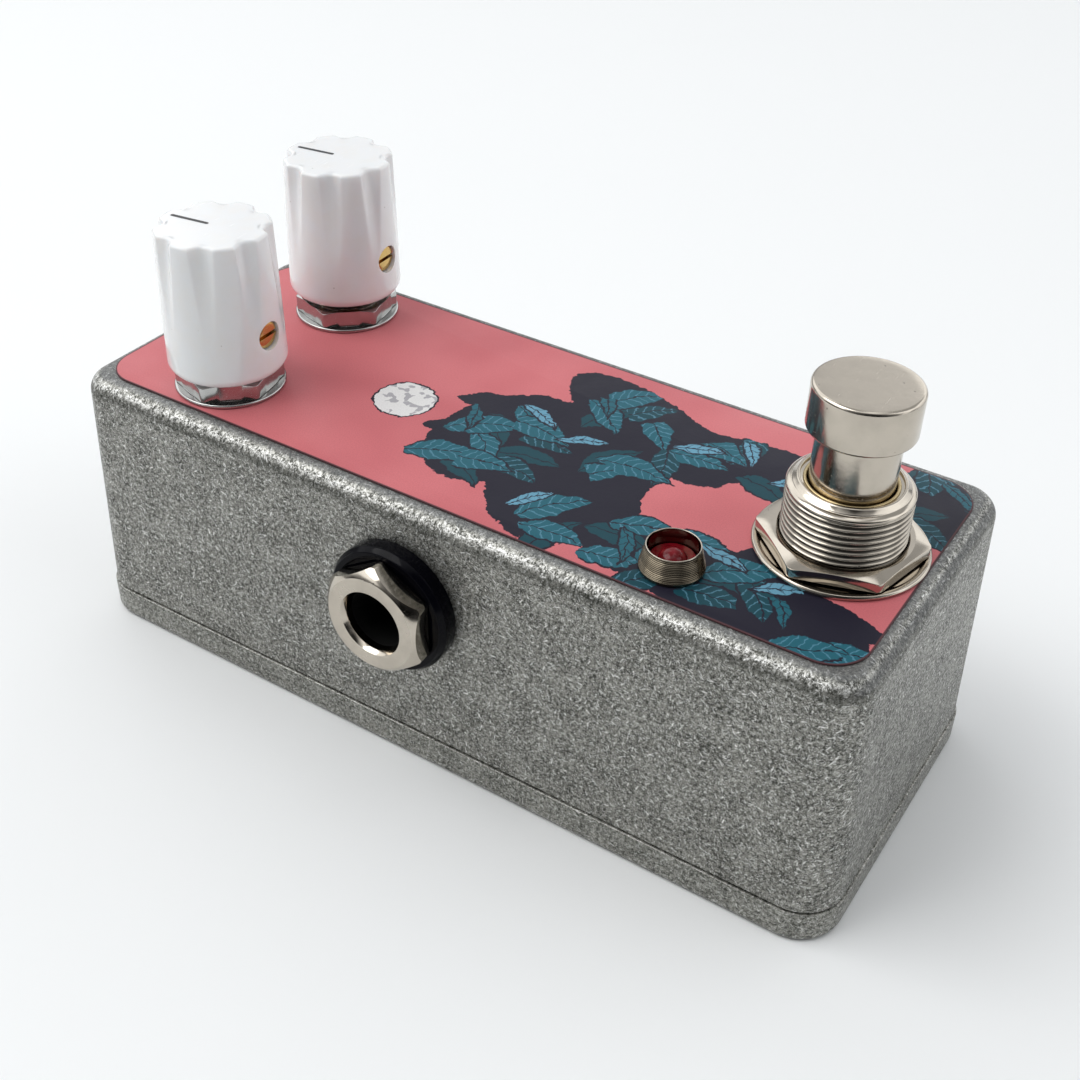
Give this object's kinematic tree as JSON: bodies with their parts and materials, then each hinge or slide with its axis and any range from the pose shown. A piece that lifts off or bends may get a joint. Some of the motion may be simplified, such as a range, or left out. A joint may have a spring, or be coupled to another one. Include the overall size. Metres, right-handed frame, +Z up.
{
  "type": "guitar effects pedal",
  "caption": "Small die-cast guitar effects pedal with two fluted knobs, a lamp, a stomp footswitch, quarter-inch jacks on its long sides and a power socket on its end.",
  "frame": {"origin": "centre of the lid's underside, on the surface the pedal stands on", "axes": "+Z up, +Y along the pedal's length towards the knob end, +X to the right of a player who stands at the footswitch end"},
  "size_m": [0.0466, 0.0941, 0.0498],
  "materials": {
    "cast_aluminium": "bare tumbled die casting, matte with fine scratches",
    "zinc_steel": "zinc-plated steel",
    "label_print": "satin printed vinyl",
    "knob_plastic": "glossy white moulding",
    "brass": "bare brass",
    "nickel": "polished nickel plate",
    "black_gloss": "glossy black moulding",
    "black_plastic": "moulded black plastic",
    "red_lens": "diffused red epoxy",
    "switch_blue": "moulded blue plastic",
    "phenolic_board": "phenolic board with tinned lugs",
    "pot_case": "moulded green plastic",
    "board_green": "solder mask",
    "film_red": "dipped film",
    "can_blue": "sleeved can",
    "wire_green": "insulation",
    "wire_white": "insulation",
    "wire_red": "insulation",
    "wire_yellow": "insulation"
  },
  "bodies": {
    "case": {"enclosure_box": "cast_aluminium", "enclosure_lid": "cast_aluminium", "lid_screw_1": "zinc_steel", "lid_screw_2": "zinc_steel", "lid_screw_3": "zinc_steel", "lid_screw_4": "zinc_steel", "graphic_label": "label_print", "led_bezel": "nickel", "led_nut": "nickel", "led_lamp": "red_lens", "footswitch_bush": "nickel", "footswitch_nut": "nickel", "footswitch_washer": "nickel", "footswitch_inner_nut": "nickel", "footswitch_lock_washer": "zinc_steel", "footswitch_frame": "zinc_steel", "footswitch_spring": "zinc_steel", "footswitch_body": "switch_blue", "footswitch_terminals": "phenolic_board", "dc_jack_body": "black_gloss", "dc_jack_nut": "nickel", "dc_centre_pin": "nickel", "circuit_board": "board_green", "ic_chip": "black_plastic", "film_capacitor": "film_red", "electrolytic_capacitor": "can_blue", "wire_input": "wire_green", "wire_output": "wire_white", "wire_power": "wire_red", "wire_led": "wire_yellow", "pot_bushing_left": "nickel", "pot_washer_left": "nickel", "pot_nut_left": "nickel", "pot_body_left": "pot_case", "pot_bushing_right": "nickel", "pot_washer_right": "nickel", "pot_nut_right": "nickel", "pot_body_right": "pot_case", "output_jack_nose": "nickel", "output_jack_collar": "black_gloss", "output_jack_body": "black_plastic", "output_jack_terminal": "brass", "input_jack_nose": "nickel", "input_jack_collar": "black_gloss", "input_jack_body": "black_plastic", "input_jack_terminal": "brass"},
    "left_knob": {"knob_left": "knob_plastic", "knob_insert_left": "brass", "knob_set_screw_left": "brass", "pot_shaft_left": "zinc_steel"},
    "right_knob": {"knob_right": "knob_plastic", "knob_insert_right": "brass", "knob_set_screw_right": "brass", "pot_shaft_right": "zinc_steel"},
    "switch_button": {"footswitch_button": "nickel", "footswitch_actuator": "black_plastic"},
    "output_tip": {"output_jack_tip_contact": "brass"},
    "input_tip": {"input_jack_tip_contact": "brass"},
    "power_contact": {"dc_contact_spring": "brass"}
  },
  "joints": [
    {"name": "knob_left_turn", "type": "hinge", "parent": "case", "child": "left_knob", "pos_m": [-0.0098, 0.0304, 0.0337], "axis": [0, 0, 1], "range_deg": [-158, 142]},
    {"name": "knob_right_turn", "type": "hinge", "parent": "case", "child": "right_knob", "pos_m": [0.0098, 0.0304, 0.0344], "axis": [0, 0, 1], "range_deg": [-158, 142]},
    {"name": "footswitch_press", "type": "slide", "parent": "case", "child": "switch_button", "axis": [0, 0, -1], "range_m": [0, 0.003], "stiffness_N_per_m": 2500, "springref_m": -0.0005, "deforming": ["footswitch_spring"]},
    {"name": "output_tip_flex", "type": "hinge", "parent": "case", "child": "output_tip", "pos_m": [-0.00533, 0.0021, 0.02404], "axis": [0, -1, 0], "range_deg": [0, 5], "stiffness_Nm_per_rad": 0.3},
    {"name": "input_tip_flex", "type": "hinge", "parent": "case", "child": "input_tip", "pos_m": [0.00565, -0.0132, 0.01485], "axis": [0, -1, 0], "range_deg": [0, 5], "stiffness_Nm_per_rad": 0.3},
    {"name": "power_contact_flex", "type": "hinge", "parent": "case", "child": "power_contact", "pos_m": [0.0042, 0.03666, 0.01318], "axis": [0, 0.0349, -0.9994], "range_deg": [0, 5], "stiffness_Nm_per_rad": 0.2}
  ]
}
